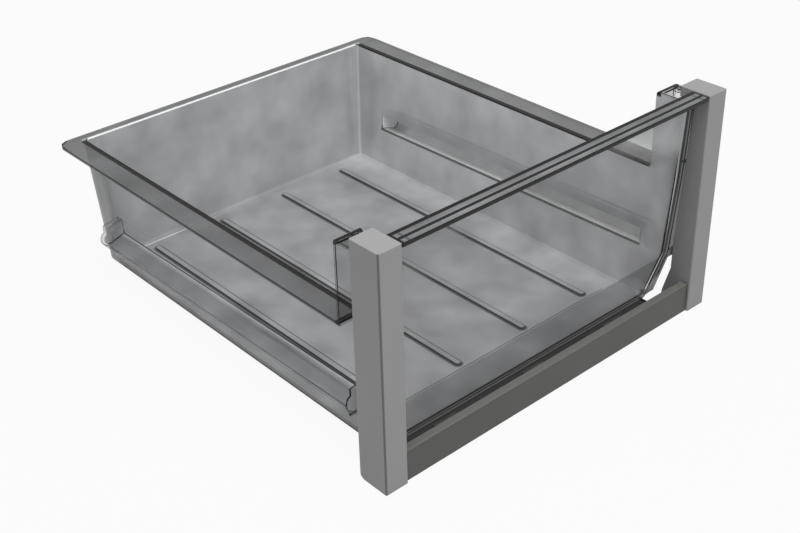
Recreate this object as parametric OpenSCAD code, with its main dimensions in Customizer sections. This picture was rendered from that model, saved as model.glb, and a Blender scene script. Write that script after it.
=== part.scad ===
// Freezer drawer: a clear moulded bin with a silver end post on each front corner
// and a trim strip between the posts. Millimetres, Z up, the front faces -Y.
// Depths are measured back from the front faces of the posts.

/* [Overall] */
// Width over the two posts
drawer_w = 380; // [340:1:440]
// Depth from the front of the posts to the back edge of the rim
drawer_d = 454; // [400:1:520]

/* [Bin walls] */
// Thickness of the bin's walls and flanges
wall = 2.6; // [2:0.1:3.4]
// Thickness of the bin's floor
floor_t = 3; // [2.4:0.1:4]
// Height of the rim along the sides and the back
rim_h = 129.5; // [118:0.5:142]
// Draft of the side walls, in degrees
side_draft = 3; // [1:0.1:4]
// Draft of the back wall, in degrees
back_draft = 2; // [1:0.1:4]
// Outside radius between the walls and the floor
foot_r = 6; // [5:0.5:12]
// Outside radius of the upright back corners
back_corner_r = 4.5; // [4:0.5:16]
// Outside radius of the upright front corners at the front wall's bend
front_corner_r = 3.6; // [3.6:0.1:9]
// Outside radius of the upright front corners at the top of the ears
front_top_r = 9.7; // [5:0.1:12]

/* [Rim and ears] */
// Width of the side flanges
side_flange_w = 21; // [18:0.5:24]
// Width of the back flange
back_flange_w = 8.3; // [7:0.1:14]
// Radius of the rim's back corners
rim_corner_r = 13; // [8:0.5:20]
// Depth of the back face of the raised ears
ear_d = 51; // [46:0.5:60]
// Drop of the raised ears below the top of the posts
ear_drop = 9.7; // [8:0.1:16]
// Radius of the ears' top back edge
ear_r = 3; // [1:0.5:14]
// Outside diameter of the ring on top of each ear
ear_ring_d = 7; // [5:0.5:9]
// Diameter of the blind hole in that ring
ear_ring_bore = 3.4; // [2:0.1:4]
// Height of that ring
ear_ring_h = 3.2; // [2:0.1:5]

/* [Front wall and grip lip] */
// Depth of the front wall's face at ear height
front_top_y = 15; // [13:0.5:18]
// Depth of the front wall's face at its bend
bend_y = 22.8; // [20:0.1:26]
// Height of the bend
bend_h = 55; // [46:0.5:62]
// Depth of the front wall's foot
foot_y = 38; // [34:0.5:44]
// Height of the lower ends of the flanges that carry the posts
flange_foot_h = 46; // [38:0.5:47]
// Gap between the posts and the front wall below those flanges
strip_gap = 1; // [0.5:0.1:4]
// Setback of the grip lip from the front of the posts
lip_setback = 0.6; // [0.2:0.1:2]
// Drop of the grip lip below the top of the posts
lip_sink = 0.7; // [0.2:0.1:2]
// Height of the lip's turned-down front edge
lip_drop = 3.6; // [3:0.1:9]
// Depth of the finger rib under the lip
lip_rib_h = 2.4; // [1:0.1:4]

/* [Runner rails] */
// Depth of the rails' front ends
rail_front = 50; // [46:0.5:60]
// Gap between the rails' back ends and the back edge of the rim
rail_back_gap = 49; // [35:0.5:70]
// Height of the rails' nose axis at the back
rail_z = 46.5; // [42:0.5:54]
// How far the rails stand out from the side walls
rail_out = 22.3; // [20:0.1:24]
// Radius of the rails' nose
rail_nose_r = 8; // [6:0.1:10]
// Width of the rails' top
rail_shelf_w = 18; // [14:0.5:19]
// Fall of the rails' top from the wall to its outer edge
rail_shelf_drop = 4; // [0:0.5:6]
// Height of the rails' root above the nose axis
rail_root_up = 18; // [15:0.5:20]
// Depth of the rails' root below the nose axis
rail_root_down = 2; // [1:0.5:7]
// Rise of the rails from back to front
rail_rise = 6; // [0:0.5:10]
// Drop of the stop under each rail's front end
rail_stop_h = 5; // [3:0.5:8]

/* [Floor] */
// Rise of the raised floor panel
panel_rise = 0.8; // [0.4:0.1:1.5]
// Depth of the raised panel's front edge
panel_front = 74; // [68:1:84]
// Margin between the raised panel and the rounded foot of the walls
panel_margin = 9; // [3:0.5:12]
// Radius of the raised panel's corners
panel_r = 10; // [4:1:16]
// Number of floor ribs
rib_count = 4; // [2:1:5]
// Spacing of the floor ribs
rib_pitch = 78; // [60:1:80]
// Width of the floor ribs
rib_w = 5.5; // [4:0.5:8]
// Height of the floor ribs above the raised panel
rib_h = 1.8; // [1:0.1:3]
// Gap between the ribs and the panel's front and back edges
rib_end_gap = 4; // [2:0.5:20]

/* [Posts] */
// Height of the posts
post_h = 209; // [206:0.5:220]
// Width of each post
post_w = 22; // [19:0.5:24]
// Depth of each post
post_d = 30.5; // [26:0.5:34]
// Wall thickness of the posts
post_wall = 2.2; // [1.8:0.1:2.8]
// Radius of the posts' upright edges
post_edge_r = 1.3; // [0.8:0.1:4]
// Radius of the posts' bottom back corner
post_foot_r = 6; // [2:0.5:9]
// Thickness of the cross ribs in the posts
post_rib_t = 1.6; // [1:0.1:2.4]
// Number of the cross ribs in each post
post_rib_count = 4; // [2:1:6]
// Setback of the cross ribs from the posts' back edge
post_rib_setback = 7.5; // [2:0.1:9]
// Height at which the inner side's back edge starts to slope back
post_slope_h = 36; // [20:1:44]
// Height at which that slope ends
post_slope_end_h = 6; // [3:0.5:12]

/* [Snap hooks] */
// Number of snap hooks in each post
hook_count = 2; // [1:1:2]
// Height of the lowest hook
hook_low = 52; // [51:1:70]
// Spacing of the hooks
hook_pitch = 89; // [60:1:120]
// Width of the hooks
hook_w = 8; // [5:0.5:10]
// Thickness of the hooks
hook_t = 2; // [1.5:0.1:2.5]
// Height of the hooks' barbs
hook_barb = 1.6; // [1:0.1:2.4]
// Reach of the hooks behind the flange
hook_reach = 3; // [2:0.5:6]

/* [Front trim] */
// Height of the trim
trim_h = 29; // [24:0.5:34]
// Depth of the trim from front to back
trim_d = 7.3; // [6:0.1:9]
// Wall thickness of the trim
trim_t = 2.2; // [1.8:0.1:2.6]
// Setback of the trim's face from the front of the posts
trim_recess = 2; // [1:0.1:4]
// Gap between the trim's ends and the posts
trim_gap = 0.8; // [0.4:0.1:1.5]
// Radius of the trim's front edges
trim_edge_r = 1; // [0.5:0.1:1.6]
// Spacing of the trim's snap tabs
clip_pitch = 101; // [80:1:110]
// Width of the snap tabs
clip_w = 24; // [14:0.5:30]
// Depth of the snap tabs' hooks
clip_y = 30; // [24:0.5:32]
// Reach of the hooks' barbs over the ledge
clip_barb = 1.5; // [1:0.1:2.5]
// Length of the tongue at each end of the trim
tongue_l = 5; // [4:0.5:8]
// Height of the tongues
tongue_h = 12; // [8:0.5:16]
// Height of the tongues' lower edge
tongue_z = 8; // [5:0.5:10]
// Half the length of the ledge that carries the trim
ledge_half = 150; // [140:1:156]

/* [Clearances] */
// Clearance between a post's outer side and the flange inside it
post_fit = 0.5; // [0.3:0.1:0.8]
// Clearance of a piece from the face it seats on
seat = 0.3; // [0.1:0.1:0.4]
// Clearance round a hook or a tongue in its slot
slot_fit = 0.4; // [0.2:0.1:0.8]

/* [Hidden] */
$fn = 64;
// Facets round the rounded corners of the tub
shell_fn = 40;
// Thickness of the discs that the tub is stretched over
disc = 0.02;
// Overlap of shapes that are joined or cut
lap = 0.5;

rim_half = drawer_w / 2 - post_wall - post_fit;
wall_half = rim_half - side_flange_w;
post_in = drawer_w / 2 - post_w;
lip_top = post_h - lip_sink;
ear_h = post_h - ear_drop;
rail_back = drawer_d - rail_back_gap;
rail_l = rail_back - rail_front;
rail_tilt = atan(rail_rise / rail_l);
ledge_z = trim_t + seat;
ledge_top = ledge_z + wall;
ledge_front = trim_recess + trim_d + seat;
trim_half = post_in - trim_gap;
tongue_front = trim_recess + trim_t / 2;
tongue_back = trim_recess + 2 * trim_t;
hook_x = post_in + post_wall + slot_fit + hook_w / 2;
hook_heights = [for (i = [0 : hook_count - 1]) hook_low + i * hook_pitch];
clip_places = [-clip_pitch, 0, clip_pitch];

clear_plastic = [0.72, 0.75, 0.77, 0.45];
silver_plastic = [0.62, 0.63, 0.64];
olive_plastic = [0.37, 0.37, 0.35];

// Half-width of the tub's outside at a height
function side_x(z) = wall_half - max(0, rim_h - z) * tan(side_draft);
// Depth of the tub's back face at a height
function back_y(z) = drawer_d - back_flange_w - max(0, rim_h - z) * tan(back_draft);
// Depth of the front wall's face at a height
function face_y(z) = z >= bend_h
    ? bend_y + (front_top_y - bend_y) * (z - bend_h) / (ear_h - bend_h)
    : bend_y + (foot_y - bend_y) * (bend_h - z) / (bend_h - foot_r);
// Outside radius of the upright front corners at a height above the bend
function front_r(z) = front_corner_r + (front_top_r - front_corner_r) * (z - bend_h) / (ear_h - bend_h);

// Puts the origin at the middle of the drawer's footprint
module from_front() {
    translate([0, -drawer_d / 2, 0]) children();
}

module both_sides() {
    children();
    mirror([1, 0, 0]) children();
}

// Runs a profile drawn as depth and height from x0 to x1
module across(x0, x1) {
    translate([x0, 0, 0]) rotate([90, 0, 90]) linear_extrude(x1 - x0) children();
}

module rounded_rect(size, r) {
    translate([r, 0]) square([size.x - 2 * r, size.y]);
    translate([0, r]) square([size.x, size.y - 2 * r]);
    for (x = [r, size.x - r], y = [r, size.y - r]) translate([x, y]) circle(r);
}

// The rounded, drafted block of the tub; inset shrinks it to the inside of the walls
module tub_block(inset, top) {
    floor_shift = inset > 0 ? floor_t - wall : 0;
    hull() for (side = [-1, 1]) {
        for (y = [foot_y + foot_r, back_y(foot_r) - foot_r])
            translate([side * (side_x(foot_r) - foot_r), y, foot_r + floor_shift])
                sphere(foot_r - inset, $fn = shell_fn);
        for (z = [bend_h, rim_h, ear_h])
            translate([side * (side_x(z) - front_r(z)), face_y(z) + front_r(z), z - disc])
                cylinder(r = front_r(z) - inset, h = z < ear_h ? disc : disc + top - ear_h, $fn = shell_fn);
        translate([side * (wall_half - back_corner_r), back_y(rim_h) - back_corner_r, rim_h - disc])
            cylinder(r = back_corner_r - inset, h = disc + top - rim_h, $fn = shell_fn);
    }
}

// Side view of the bin's rim line: low along the side, stepping up to the ear
module side_outline(inset) {
    r = max(ear_r - inset, disc);
    square([drawer_d, rim_h - inset]);
    square([ear_d - inset - r, ear_h - inset]);
    square([ear_d - inset, ear_h - inset - r]);
    translate([ear_d - inset - r, ear_h - inset - r]) circle(r);
}

// One flange that follows the rim line back from the front wall, with rounded back corners
module rim_flange() {
    intersection() {
        across(-rim_half, rim_half) difference() {
            side_outline(0);
            side_outline(wall);
            translate([-lap, -lap]) square([front_top_y + wall / 2 + lap, post_h]);
        }
        translate([-rim_half, -rim_corner_r, 0])
            linear_extrude(post_h) rounded_rect([2 * rim_half, drawer_d + rim_corner_r], rim_corner_r);
    }
}

// The front wall, carried out past the side walls to the insides of the posts;
// below these flanges only a strip beside the posts goes on down to the foot
module front_panel() {
    strip_half = post_in - strip_gap;
    intersection() {
        across(-rim_half, rim_half) polygon([
            for (z = [ear_h, bend_h, foot_r]) [face_y(z), z],
            for (z = [foot_r, bend_h, ear_h]) [face_y(z) + wall, z]
        ]);
        union() {
            translate([-rim_half, 0, flange_foot_h]) cube([2 * rim_half, drawer_d, ear_h - flange_foot_h]);
            translate([-strip_half, 0, foot_r]) cube([2 * strip_half, drawer_d, ear_h - foot_r]);
        }
    }
}

// Section through a runner rail on the right side wall, about its nose axis:
// a sloping top, an upright side and a round nose that bulges out below it
module rail_section(inset) {
    root_depth = inset > 0 ? 2 * wall : wall / 2;
    top = rail_root_up - inset;
    shelf_x = rail_shelf_w - inset;
    nose_x = rail_out - rail_nose_r;
    translate([side_x(rail_z), 0]) {
        polygon([
            [-root_depth, top], [shelf_x, top - rail_shelf_drop], [shelf_x, 0],
            [nose_x, inset - rail_nose_r], [-root_depth, inset - rail_root_down]
        ]);
        translate([nose_x, 0]) circle(rail_nose_r - inset);
    }
}

module rail(inset) {
    translate([0, rail_back, rail_z]) rotate([90 - rail_tilt, 0, 0])
        translate([0, 0, inset]) linear_extrude(rail_l - 2 * inset) rail_section(inset);
}

// Wedge under a rail's front end that stops the drawer on its runner
module rail_stop() {
    under = rail_z + rail_rise - rail_nose_r + wall / 2;
    nose_x = side_x(rail_z) + rail_out - rail_nose_r;
    across(nose_x - rail_nose_r / 2, nose_x + rail_nose_r / 2) polygon([
        [rail_front + wall, under],
        [rail_front + rail_stop_h + wall, under],
        [rail_front + wall, under - rail_stop_h],
        [rail_front, under - rail_stop_h]
    ]);
}

module trim_ledge() {
    translate([-ledge_half, ledge_front, ledge_z])
        cube([2 * ledge_half, foot_y + foot_r - ledge_front, wall]);
}

// Windows in the ledge for the trim's hooks
module ledge_windows() {
    for (x = clip_places)
        translate([x - clip_w / 2 - slot_fit, clip_y - clip_barb - slot_fit, ledge_z - lap])
            cube([clip_w + 2 * slot_fit, clip_barb + trim_t + 2 * slot_fit, wall + 2 * lap]);
}

// Slots in the side flange for one post's hooks, with room below for the barbs to bend down and pass
module hook_slots() {
    for (z = hook_heights)
        translate([hook_x - hook_w / 2 - slot_fit, face_y(z) - wall, z - hook_t / 2 - hook_barb - slot_fit])
            cube([hook_w + 2 * slot_fit, 3 * wall, hook_t + hook_barb + 2 * slot_fit]);
}

module ear_ring() {
    translate([(wall_half + rim_half) / 2, post_d + ear_ring_d, ear_h - wall / 2]) difference() {
        cylinder(d = ear_ring_d, h = ear_ring_h + wall / 2);
        translate([0, 0, wall / 2]) cylinder(d = ear_ring_bore, h = ear_ring_h + lap);
    }
}

// Grip lip along the top of the front wall: a shelf with a turned-down edge and a finger rib
module grip_lip() {
    lip_under = lip_top - wall;
    rib_y = (lip_setback + front_top_y) / 2;
    across(-post_in + trim_gap, post_in - trim_gap) union() {
        polygon([
            [lip_setback, lip_top - lip_drop], [lip_setback, lip_top],
            [front_top_y + wall, lip_top], [front_top_y + wall, ear_h - lap],
            [front_top_y, ear_h - lap], [front_top_y, lip_under],
            [lip_setback + wall, lip_under], [lip_setback + wall, lip_top - lip_drop]
        ]);
        translate([rib_y - wall / 2, lip_under - lip_rib_h]) square([wall, lip_rib_h + lap]);
    }
}

// Raised panel of the floor with its long ribs
module floor_panel() {
    half = side_x(foot_r) - foot_r - panel_margin;
    back = back_y(foot_r) - foot_r - panel_margin;
    rib_l = back - panel_front - 2 * rib_end_gap;
    translate([-half, panel_front, floor_t - lap])
        linear_extrude(panel_rise + lap) rounded_rect([2 * half, back - panel_front], panel_r);
    for (i = [0 : rib_count - 1])
        translate([(i - (rib_count - 1) / 2) * rib_pitch - rib_w / 2, panel_front + rib_end_gap, floor_t])
            linear_extrude(panel_rise + rib_h) union() {
                translate([0, rib_w / 2]) square([rib_w, rib_l - rib_w]);
                for (y = [rib_w / 2, rib_l - rib_w / 2]) translate([rib_w / 2, y]) circle(rib_w / 2);
            }
}

module bin() {
    color(clear_plastic) from_front() {
        difference() {
            union() {
                intersection() {
                    tub_block(0, ear_h);
                    across(-rim_half, rim_half) side_outline(0);
                }
                rim_flange();
                front_panel();
                both_sides() rail(0);
                both_sides() rail_stop();
                trim_ledge();
            }
            tub_block(wall, post_h);
            both_sides() rail(wall);
            both_sides() hook_slots();
            ledge_windows();
        }
        grip_lip();
        floor_panel();
        both_sides() ear_ring();
    }
}

// Outside of the right post: rounded upright edges and a rounded back corner at its foot
module post_block() {
    intersection() {
        translate([post_in, 0, 0]) linear_extrude(post_h) rounded_rect([post_w, post_d], post_edge_r);
        across(post_in - lap, drawer_w / 2 + lap) union() {
            square([post_d - post_foot_r, post_h]);
            translate([0, post_foot_r]) square([post_d, post_h - post_foot_r]);
            translate([post_d - post_foot_r, post_foot_r]) circle(post_foot_r);
        }
    }
}

// Room in a post for the bin's flange and ear, open at the back
module post_notch() {
    across(post_in - lap, drawer_w / 2 - post_wall) polygon([
        [face_y(ear_h) - seat, ear_h + seat],
        [bend_y - seat, bend_h],
        [bend_y - seat, post_slope_h],
        [post_d + lap, post_slope_end_h],
        [post_d + lap, ear_h + seat]
    ]);
}

module post_ribs() {
    spacing = post_h / (post_rib_count + 1);
    for (i = [1 : post_rib_count])
        translate([post_in + post_wall - lap, post_wall - lap, i * spacing - post_rib_t / 2])
            cube([post_w - 2 * post_wall + 2 * lap, post_d - post_wall - post_rib_setback, post_rib_t]);
}

// Hooks that reach back from the post's front wall through the flange
module post_hooks() {
    for (z = hook_heights) {
        catch_y = face_y(z + hook_t / 2) + wall + seat;
        across(hook_x - hook_w / 2, hook_x + hook_w / 2) polygon([
            [post_wall - lap, z - hook_t / 2],
            [catch_y + hook_reach, z - hook_t / 2],
            [catch_y + hook_reach, z],
            [catch_y, z + hook_t / 2 + hook_barb],
            [catch_y, z + hook_t / 2],
            [post_wall - lap, z + hook_t / 2]
        ]);
    }
}

module post() {
    color(silver_plastic) from_front() {
        difference() {
            union() {
                difference() {
                    post_block();
                    translate([post_in + post_wall, post_wall, post_wall])
                        cube([post_w - 2 * post_wall, post_d, post_h - 2 * post_wall]);
                }
                post_ribs();
            }
            post_notch();
            translate([post_in - lap, tongue_front - slot_fit, tongue_z - slot_fit])
                cube([post_wall + 2 * lap, tongue_back - tongue_front + 2 * slot_fit, tongue_h + 2 * slot_fit]);
        }
        post_hooks();
    }
}

module right_post() {
    post();
}

module left_post() {
    mirror([1, 0, 0]) post();
}

// Channel of the trim: rounded front edges, open at the back
module trim_section() {
    difference() {
        union() {
            translate([trim_edge_r, 0]) square([trim_d - trim_edge_r, trim_h]);
            translate([0, trim_edge_r]) square([trim_d, trim_h - 2 * trim_edge_r]);
            for (z = [trim_edge_r, trim_h - trim_edge_r]) translate([trim_edge_r, z]) circle(trim_edge_r);
        }
        translate([trim_t, trim_t]) square([trim_d, trim_h - 2 * trim_t]);
    }
}

// Tabs under the ledge, with hooks that stand up through its windows
module trim_tabs() {
    hook_top = ledge_top + seat;
    for (x = clip_places) across(x - clip_w / 2, x + clip_w / 2) polygon([
        [trim_recess + trim_d - lap, 0],
        [clip_y + trim_t, 0],
        [clip_y + trim_t, hook_top + clip_barb],
        [clip_y, hook_top + clip_barb],
        [clip_y - clip_barb, hook_top],
        [clip_y, hook_top],
        [clip_y, trim_t],
        [trim_recess + trim_d - lap, trim_t]
    ]);
}

module trim_tongue() {
    translate([trim_half - tongue_l, tongue_front, tongue_z])
        cube([tongue_l + trim_gap + post_wall + tongue_l / 2, tongue_back - tongue_front, tongue_h]);
}

module front_trim() {
    color(olive_plastic) from_front() {
        translate([0, trim_recess, 0]) across(-trim_half, trim_half) trim_section();
        trim_tabs();
        both_sides() trim_tongue();
    }
}

bin();
left_post();
right_post();
front_trim();
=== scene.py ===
"""Looks of a clear freezer drawer with silver end posts and a trim strip along its foot."""

import math

import bmesh
import bpy
from mathutils import Matrix, Vector


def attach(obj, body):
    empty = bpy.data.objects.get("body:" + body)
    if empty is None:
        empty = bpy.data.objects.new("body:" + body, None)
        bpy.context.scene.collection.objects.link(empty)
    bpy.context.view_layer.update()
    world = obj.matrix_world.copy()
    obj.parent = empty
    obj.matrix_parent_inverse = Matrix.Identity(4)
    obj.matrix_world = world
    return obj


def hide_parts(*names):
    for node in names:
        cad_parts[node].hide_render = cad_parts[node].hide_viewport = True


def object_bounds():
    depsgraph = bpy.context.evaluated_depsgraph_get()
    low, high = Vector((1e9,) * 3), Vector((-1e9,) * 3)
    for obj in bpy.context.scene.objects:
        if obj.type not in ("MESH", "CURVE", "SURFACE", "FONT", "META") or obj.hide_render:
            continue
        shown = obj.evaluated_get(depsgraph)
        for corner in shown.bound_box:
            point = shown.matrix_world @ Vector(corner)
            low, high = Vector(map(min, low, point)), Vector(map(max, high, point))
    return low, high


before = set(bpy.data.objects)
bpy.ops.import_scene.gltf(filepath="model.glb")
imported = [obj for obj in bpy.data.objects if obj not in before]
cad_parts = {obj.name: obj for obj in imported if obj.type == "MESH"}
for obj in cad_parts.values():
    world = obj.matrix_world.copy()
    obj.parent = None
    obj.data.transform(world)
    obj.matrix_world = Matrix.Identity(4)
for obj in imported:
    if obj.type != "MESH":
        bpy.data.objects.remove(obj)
cad_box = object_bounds()

# The bin is one injection moulding in clear, slightly smoky plastic. Its floor and the inner faces of its
# walls and rails carry a haze. Its front wall and the outer faces are clear. Its edges are painted nearly
# black, painted shade for the dark edges of clear plastic; the back edge of the mouth and a line along the
# rear of the floor are painted highlights.

MM = 0.001
front_y = cad_box[0].y / MM
rim_h = 129.5
mouth_half = 163.7
ear_d = 51
wall_half = 166.3
wall_draft = 0.0524
back_depth = 438.4
back_draft = 0.04
face_depth = 25.8
face_draft = 0.054
kink_depth = 39.9
kink_draft = 0.31
rail_half = 161.95
rail_back = 405
rail_rise = 0.0169
nose_h = 46.5
nose_out = 14.35
recess_front = 53
recess_back = 404
rib_pitch = 78
rib_middle = 250.2
rib_half_l = 169.4


class Signal:
    """A socket in a material. Arithmetic on it adds Math nodes, and node() adds any other kind."""

    def __init__(self, tree, socket=None):
        self.tree = tree
        self.socket = socket

    def node(self, kind, settings=None, sockets=None, out=0):
        made = self.tree.nodes.new(kind)
        for name, value in (settings or {}).items():
            setattr(made, name, value)
        for name, value in (sockets or {}).items():
            if isinstance(value, Signal):
                self.tree.links.new(value.socket, made.inputs[name])
            else:
                made.inputs[name].default_value = value
        if isinstance(out, tuple):
            return [Signal(self.tree, made.outputs[each]) for each in out]
        return Signal(self.tree, made.outputs[out])

    def maths(self, operation, first, second=0.0):
        return self.node("ShaderNodeMath", {"operation": operation}, {0: first, 1: second})

    def __add__(self, other):
        return self.maths("ADD", self, other)

    def __sub__(self, other):
        return self.maths("SUBTRACT", self, other)

    def __rsub__(self, other):
        return self.maths("SUBTRACT", other, self)

    def __mul__(self, other):
        return self.maths("MULTIPLY", self, other)

    def __pow__(self, other):
        return self.maths("POWER", self, other)

    def __abs__(self):
        return self.maths("ABSOLUTE", self)

    __radd__ = __add__
    __rmul__ = __mul__

    def most(self, other):
        return self.maths("MAXIMUM", self, other)

    def least(self, other):
        return self.maths("MINIMUM", self, other)

    def over(self, low, high):
        """0 below low, 1 above high and a smooth step between."""
        return self.node(
            "ShaderNodeMapRange",
            {"interpolation_type": "SMOOTHSTEP"},
            {"Value": self, "From Min": low, "From Max": high},
        )

    def band(self, low, high, soft):
        """1 between low and high and 0 outside, with soft ends."""
        return self.over(low - soft, low + soft) * (1 - self.over(high - soft, high + soft))

    def mix(self, first, second):
        """A number that goes from first to second as this value goes from 0 to 1."""
        return (second - first) * self + first

    def tint(self, colour):
        """A colour scaled by this value."""
        return self.node(
            "ShaderNodeMix", {"data_type": "RGBA"}, {"Factor": self, 6: (0, 0, 0, 1), 7: colour}, out=2
        )


def new_material(name):
    """A material with one Principled shader: the material, its shader and a signal to build on."""
    material = bpy.data.materials.new(name)
    material.use_nodes = True
    return material, material.node_tree.nodes["Principled BSDF"], Signal(material.node_tree)


def feed(shader, **signals):
    for name, signal in signals.items():
        signal.tree.links.new(signal.socket, shader.inputs[name.replace("_", " ")])


def drawer_place(s):
    """Where a point lies on the drawer, in mm: across, from the front back, up, and away from the middle."""
    place = s.node("ShaderNodeVectorMath", {"operation": "SCALE"}, {
        0: s.node("ShaderNodeTexCoord", out=3), "Scale": 1 / MM
    })
    x, y, z = s.node("ShaderNodeSeparateXYZ", sockets={0: place}, out=(0, 1, 2))
    return x, y - front_y, z, abs(x)


def clouds(s, size, detail):
    """Soft patches about as large as size, in mm, as values round 0.5."""
    return s.node("ShaderNodeTexNoise", None, {
        "Vector": s.node("ShaderNodeTexCoord", out=3), "Scale": 1 / (size * MM), "Detail": detail
    })


def rejoined(node, name):
    """A copy of a node's mesh with its flat faces rejoined, ready to have its edges rounded."""
    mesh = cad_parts[node].data.copy()
    mesh.name = name
    shape = bmesh.new()
    shape.from_mesh(mesh)
    bmesh.ops.remove_doubles(shape, verts=shape.verts, dist=0.06 * MM)
    bmesh.ops.dissolve_degenerate(shape, edges=shape.edges, dist=0.02 * MM)
    bmesh.ops.dissolve_limit(
        shape, angle_limit=math.radians(0.8), verts=shape.verts, edges=shape.edges, delimit={"NORMAL"}
    )
    for face in shape.faces:
        face.smooth = True
    return mesh, shape


def finished(mesh, shape, rounding, widest, segments, materials, edge_index=-1):
    """The piece that a mesh becomes once its sharp edges are rounded by the widths that rounding gives."""
    weight = shape.edges.layers.float.new("bevel_weight_edge")
    for edge in shape.edges:
        if edge.calc_face_angle(0) > math.radians(24):
            edge[weight] = rounding((edge.verts[0].co + edge.verts[1].co) / 2 / MM) / widest
            edge.smooth = edge[weight] > 0
    shape.to_mesh(mesh)
    shape.free()
    mesh.materials.clear()
    for material in materials:
        mesh.materials.append(material)
    piece = bpy.data.objects.new(mesh.name, mesh)
    bpy.context.scene.collection.objects.link(piece)
    bevel = piece.modifiers.new("rounded edges", "BEVEL")
    bevel.limit_method = "WEIGHT"
    bevel.width = widest * MM
    bevel.segments = segments
    bevel.material = edge_index
    bevel.use_clamp_overlap = False
    piece.modifiers.new("even shading", "WEIGHTED_NORMAL").keep_sharp = True
    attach(piece, "root")
    return piece


def bin_rounding(middle):
    """How far an edge of the bin is rounded, in mm. The rails' long edges blend into each other unseen."""
    side = abs(middle.x)
    depth = middle.y - front_y
    at_rim = abs(middle.z - rim_h) < 0.3 and depth > ear_d + 1
    along_recess = recess_front < depth < recess_back
    if at_rim and abs(side - mouth_half) < 0.5:
        return 0.5
    if at_rim and 438 < depth < 445:
        return 1.2
    if middle.z < 7 and depth > 60 and side < 152:
        return 0
    if along_recess and 158.5 < side < 160 and 45 < middle.z < 53:
        return 1.5
    if along_recess and 159.2 < side < 160.7 and 56 < middle.z < 72:
        return 0
    if recess_front < depth < recess_back - 2 and side > 160.5 and 36 < middle.z < 73:
        return 0
    if side > 165 and depth > 430:
        return 0.3
    return 0.6


clear, clear_shader, s = new_material("clear smoky plastic")
clear_shader.inputs["Roughness"].default_value = 0.12
clear_shader.inputs["Specular IOR Level"].default_value = 0.2
clear.use_backface_culling = True
x, depth, z, side = drawer_place(s)
left = 1 - x.over(-1, 1)
own_side = 1 - s.node("ShaderNodeNewGeometry", out=6)
facing = s.node("ShaderNodeLayerWeight", None, {"Blend": 0.5}, out=1)

# How far a point lies out from the side walls' outer face, back from the back wall's inner face, back from
# the front wall's face, out from the rails' root and up from the middle of the rails' nose.
past_wall = side - wall_half + (rim_h - z).most(0) * wall_draft
past_back = depth - back_depth - z * back_draft
behind_face = (depth + z * face_draft - face_depth).least(depth + z * kink_draft - kink_depth)
out = side - rail_half
above_nose = z - nose_h - (rail_back - depth) * rail_rise

# The walls and the floor. Near the rear corners the outer faces stay hazy.
low = 1 - z.over(6.5, 10)
off_floor = z.over(3.5, 5)
wall_in = past_wall.band(-4, -1.3, 0.3) * off_floor * (1 - past_back.over(0.8, 1.4))
wall_out = past_wall.over(-1.6, -1) * off_floor * (1 - depth.over(410, 425))
back_in = past_back.band(-1.5, 1, 0.3) * off_floor * (1 - side.over(148, 154))
back_out = past_back.over(1.3, 1.9) * off_floor * (1 - side.over(140, 150))
rim_level = z.band(124.5, 130.5, 0.5)
flange = rim_level * past_wall.over(0.4, 1).most(depth.over(445.8, 446.4)) * depth.over(52, 52.5)

# The front wall with its lip and ears, and the haze in its upper corners.
front = 1 - behind_face.over(3.2, 4.2)
slope = 1 - z.over(52, 55)
jamb = past_wall.over(-1.6, -1) * (1 - depth.over(29, 30)) * z.over(5, 8)
corner = past_wall.over(-7.2, -6.6) * front
strip = past_wall.over(0.2, 0.8) * front
lip = z.over(199.8, 201) * (1 - depth.over(18, 19)) * (1 - side.over(167.5, 168))
ear = side.over(162.5, 163.5) * depth.band(29.5, 51.8, 0.3)
veil = front * (z + side * 0.485).over(195, 240) ** 2 * x.over(-60, 60).mix(0.4, 1)

# The rails, whose hollow is open to the inside through the recess in the wall.
off_nose = out - nose_out
in_nose = 1 - (off_nose * off_nose + above_nose * above_nose).over(42, 47)
in_shelf = (1 - out.over(16.5, 16.9)) * (above_nose + out * 0.35).over(-1.9, -1.5)
rail_hollow = in_nose.most(in_shelf) * (1 - (above_nose + out * 0.222).over(16, 16.4))
rail_end = depth.over(386, 392)
recess_cut = in_shelf * (1 - above_nose.over(15, 16)) * past_wall.over(-1.2, -0.8)
recess_cut = recess_cut * depth.band(recess_front, recess_back, 0.5)
rail = out.over(1.7, 2.3).most(recess_cut) * above_nose.band(-9, 19, 0.4) * depth.over(48, 49)

# Painted shade: dark lines along the ribs, the mouth, the rails, the lip, the ears, the foot and the front
# corners, standing for the darkness that edges and fillets of clear plastic show, and darkening where a face
# is seen edge-on.
rib_off = abs(abs(side - rib_pitch) - rib_pitch / 2)
rib_end = (abs(depth - rib_middle) - rib_half_l).most(0)
rib = (rib_off * rib_off + rib_end * rib_end) ** 0.5
rib_lines = rib.band(2.2, 4.9, 0.5) * low
# On the left the mouth's painted band of shade is wider.
mouth_width = side.band(163, 167.2, 0.4).most(side.band(163, 169, 0.4) * left)
mouth_band = mouth_width * z.band(127.3, 130.5, 0.3) * depth.band(52, 442, 1)
flange_end = side.over(168, 168.6) * rim_level * depth.band(51, 54, 0.4)
recess_line = above_nose.band(-2.6, -0.2, 0.3) * past_wall.band(-3.6, -1.9, 0.2) * own_side
recess_sill = above_nose.band(-1.4, 3, 0.3) * past_wall.band(-2.6, -1.1, 0.2)
recess_lines = recess_line.most(recess_sill) * depth.band(recess_front, recess_back, 1)
nose_line = out.over(21, 21.6) * above_nose.band(0.2, 1.3, 0.3) * depth.band(50, 390, 2) * own_side
bottom_line = past_wall.over(-4.4, -3.8) * (1 - z.over(2.2, 3)) * depth.over(50, 52)
lip_bands = depth.band(13.3, 18, 0.3).most(depth.band(5.5, 8.7, 0.3)).most(1 - depth.over(0.9, 1.1))
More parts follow.
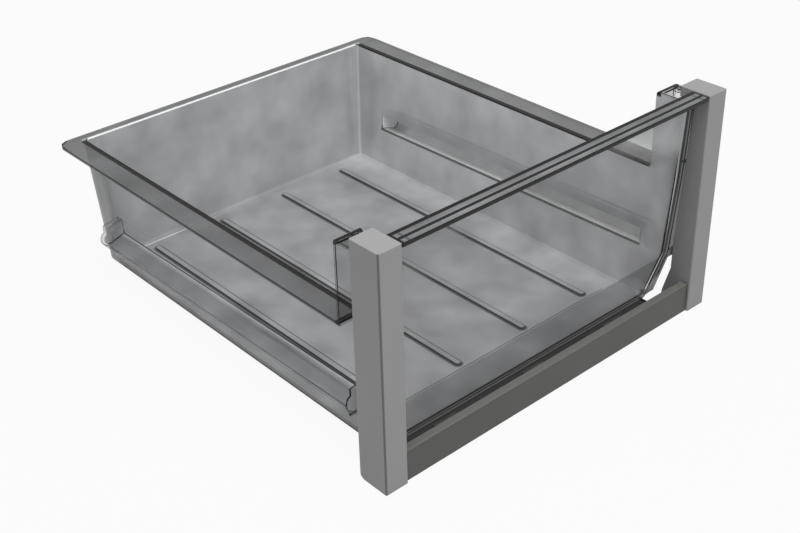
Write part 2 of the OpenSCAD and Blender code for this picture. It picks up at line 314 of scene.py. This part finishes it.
lip_lines = lip_bands.most(side.over(165.5, 166)) * lip
ear_lines = depth.band(46, 52, 0.3) * z.over(194, 196) * ear
foot_lines = (1 - z.over(7, 9)) * (1 - depth.over(44, 46)) * z.over(2, 3)
corner_line = past_wall.band(-1.3, 0.6, 0.3) * front * z.over(5, 6)
corner_fillet = past_wall.band(-7.4, -4.8, 0.6) * front * z.over(5, 6)
painted_dark = mouth_band.most(flange_end).most(lip_lines).most(ear_lines).most(facing.over(0.74, 0.93))
for line, strength in (
    (rib_lines, 0.7),
    (foot_lines, 0.9),
    (corner_line, 0.95),
    (corner_fillet, 0.7),
    (recess_lines, 0.85),
    (bottom_line, 0.85),
    (nose_line, 0.6),
):
    painted_dark = painted_dark.most(line * strength)

# The tone of the haze and how much it covers, place by place, each over the ones before it.
# The hollow of the rails has a lighter haze than the walls, and lighter still on the left: painted light
# that lifts the shade inside the hollow.
rail_tone = rail_hollow.mix(rail_end * 0.36, left.mix(0.6, 0.85))
rail_cover = rail_hollow.mix(rail_end.mix(0.05, 0.5), own_side * 0.85)
# Below the bend the front wall is a denser, dark film: painted shade for the shadow under the drawer seen
# through it.
face_cover = slope.mix(veil.mix(0.15, 0.85), 0.42) * (1 - behind_face.over(1, 1.6))
# The floor's haze is lighter towards the side walls, painted light that lifts the shade the walls and rails
# cast on it.
haze = low.mix(0.38, side.over(100, 150).mix(0.29, 0.38))
cover = low.mix(0.72, 0.87)
for place, tone, amount in (
    (back_in, 0.35, own_side * 0.93),
    (back_out, 0, 0.08),
    (wall_in, 0.45, own_side * 0.93),
    (wall_out, 0, ear.mix(0.08, 0.16)),
    (rail, rail_tone, rail_cover),
    (flange, 0.135, 0.73),
    (jamb, 0.14, 0.65),
    (front, veil * 0.42, face_cover),
    # The front wall's corners are a dark film, painted shade like the dark lines.
    (corner, 0.08, 0.72),
    (strip, 0.14, 0.68),
    (lip, 0.3, 0.5),
):
    haze = place.mix(haze, tone)
    cover = place.mix(cover, amount)
# A pale line along the rear of the floor, on its left half, is a painted highlight.
rear_highlight = depth.band(433.6, 435.4, 0.4) * (1 - z.over(5, 6)) * (1 - x.over(-110, 0))
haze = rear_highlight.mix(haze, 0.65) * (clouds(s, 45, 2) + 0.5)
haze = painted_dark.mix(haze, 0.01)
cover = painted_dark.mix(cover, 0.97)
feed(clear_shader, Base_Color=haze.tint((0.985, 1.0, 1.02, 1)), Alpha=cover)

# The bevels' faces are painted nearly black, painted shade for the dark edges of clear plastic. Along the
# back of the mouth they are painted pale instead, a painted highlight.
edge, edge_shader, s = new_material("plastic edges")
edge_shader.inputs["Roughness"].default_value = 0.45
edge_shader.inputs["Specular IOR Level"].default_value = 0.2
edge_shader.inputs["Alpha"].default_value = 0.9
_, depth, z, side = drawer_place(s)
back_mouth_highlight = depth.band(440, 447.5, 0.5) * z.over(125, 126) * (1 - side.over(161, 162))
feed(edge_shader, Base_Color=back_mouth_highlight.mix(0.012, 0.8).tint((0.985, 1.0, 1.02, 1)))

mesh, shape = rejoined("bin", "bin_moulding")
bin_piece = finished(mesh, shape, bin_rounding, 1.5, 2, [clear, edge], 1)
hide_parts("bin")

# The end posts are thin silver-grey mouldings, open at the back, that snap over the bin's side flanges.
# Their faces have a fine satin grain.

silver, silver_shader, s = new_material("silver satin plastic")
_, depth, _, side = drawer_place(s)
grain = clouds(s, 0.5, 2)
patch = clouds(s, 60, 2)
# The posts' front outer edges are darker.
front_edge = side.over(188.4, 189.2) * (1 - depth.over(0.8, 1.6))
feed(
    silver_shader,
    Base_Color=front_edge.mix(patch * 0.03 + 0.245, 0.1).tint((1, 1, 1.01, 1)),
    Roughness=grain * 0.12 + 0.4,
    Normal=s.node("ShaderNodeBump", None, {"Strength": 0.06, "Distance": 0.0002, "Height": grain}),
)
for side_name in ("left_post", "right_post"):
    mesh, shape = rejoined(side_name, side_name + "_moulding")
    post = finished(mesh, shape, lambda middle: 0.5, 0.5, 3, [silver])
    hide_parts(side_name)

# The trim is a satin olive-grey channel between the posts, held to the bin's ledge by three tabs.

olive, olive_shader, s = new_material("olive satin plastic")
_, _, z, side = drawer_place(s)
grain = clouds(s, 0.5, 2)
patch = clouds(s, 60, 2)
# The trim's top is painted lighter than its front, painted light for the light from above.
lit_top = z.over(28.3, 28.7)
# Its end faces are painted near-black, painted shade for the gaps between the trim and the posts.
shaded_end = side.over(166.2, 166.6)
feed(
    olive_shader,
    Base_Color=shaded_end.mix(lit_top.mix(patch * 0.015 + 0.052, 0.13), 0.01).tint((1.0, 1.0, 0.92, 1)),
    Roughness=grain * 0.12 + 0.4,
    Normal=s.node("ShaderNodeBump", None, {"Strength": 0.06, "Distance": 0.0002, "Height": grain}),
)
mesh, shape = rejoined("front_trim", "front_trim_moulding")
trim = finished(mesh, shape, lambda middle: 0.4, 0.4, 2, [olive])
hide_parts("front_trim")

# The drawer stands on a plain white floor in soft studio light, seen from above its front left corner.
# The floor shows white to the camera, under the drawer's own shadow.

floor_half = 6.0
corners = [(-1, -1), (1, -1), (1, 1), (-1, 1)]
floor_mesh = bpy.data.meshes.new("floor")
floor_mesh.from_pydata([(a * floor_half, b * floor_half, 0) for a, b in corners], [], [(0, 1, 2, 3)])
floor = bpy.data.objects.new("floor", floor_mesh)
floor.location.z = -0.2 * MM
bpy.context.scene.collection.objects.link(floor)


def seen_directly(s):
    """1 for rays from the camera and for those mirrored by or passing through a surface, else 0."""
    camera_ray, glossy_ray, transmission_ray = s.node("ShaderNodeLightPath", out=(0, 3, 6))
    return camera_ray.most(glossy_ray).most(transmission_ray)


pale, pale_shader, s = new_material("white floor")
pale_shader.inputs["Base Color"].default_value = (0.4, 0.4, 0.4, 1)
pale_shader.inputs["Roughness"].default_value = 0.9
glow = s.node("ShaderNodeEmission", None, {"Color": (1, 1, 1, 1), "Strength": 1.0})
lit = Signal(s.tree, pale_shader.outputs[0])
white = s.node("ShaderNodeMixShader", None, {0: seen_directly(s) * 0.93, 1: lit, 2: glow})
s.tree.links.new(white.socket, s.tree.nodes["Material Output"].inputs["Surface"])
floor_mesh.materials.append(pale)

world = bpy.data.worlds.new("studio")
bpy.context.scene.world = world
world.use_nodes = True
s = Signal(world.node_tree)
room = s.node("ShaderNodeBackground", None, {"Color": (1, 1, 1, 1), "Strength": 0.4})
backdrop = s.node("ShaderNodeBackground", None, {"Color": (1, 1, 1, 1), "Strength": 1.0})
camera_ray = s.node("ShaderNodeLightPath", out=0)
sky = s.node("ShaderNodeMixShader", None, {0: camera_ray, 1: room, 2: backdrop})
s.tree.links.new(sky.socket, s.tree.nodes["World Output"].inputs["Surface"])


def soft_box(name, place, target, size, power):
    lamp = bpy.data.lights.new(name, "AREA")
    lamp.shape = "DISK"
    lamp.size = size
    lamp.energy = power
    box = bpy.data.objects.new(name, lamp)
    box.location = place
    box.rotation_euler = (Vector(target) - Vector(place)).to_track_quat("-Z", "Y").to_euler()
    bpy.context.scene.collection.objects.link(box)
    return box


soft_box("top light", (-0.3, -0.3, 2.0), (0, 0, 0.1), 1.6, 35)
soft_box("front light", (-0.4, -1.95, 1.55), (0, 0, 0.1), 1.2, 20)

view_azimuth = math.radians(-41.02)
view_elevation = math.radians(31.59)
view_roll = math.radians(-1.55)
toward = Vector((
    math.sin(view_azimuth) * math.cos(view_elevation),
    -math.cos(view_azimuth) * math.cos(view_elevation),
    math.sin(view_elevation),
))
across = Vector((math.cos(view_azimuth), math.sin(view_azimuth), 0))
upright = toward.cross(across)
right = across * math.cos(view_roll) + upright * math.sin(view_roll)
up = upright * math.cos(view_roll) - across * math.sin(view_roll)
aim = Vector((0, -37, 114)) * MM
aim_right = 2.25
aim_up = 67.39
camera_far = 1137.35
camera = bpy.data.objects.new("camera", bpy.data.cameras.new("camera"))
camera.data.lens = 58.83
camera.data.sensor_width = 36
camera.matrix_world = Matrix((
    (right.x, up.x, toward.x, 0),
    (right.y, up.y, toward.y, 0),
    (right.z, up.z, toward.z, 0),
    (0, 0, 0, 1),
))
camera.location = aim + (toward * camera_far - right * aim_right - up * aim_up) * MM
bpy.context.scene.collection.objects.link(camera)
bpy.context.scene.camera = camera
bpy.context.scene.view_settings.view_transform = "Standard"
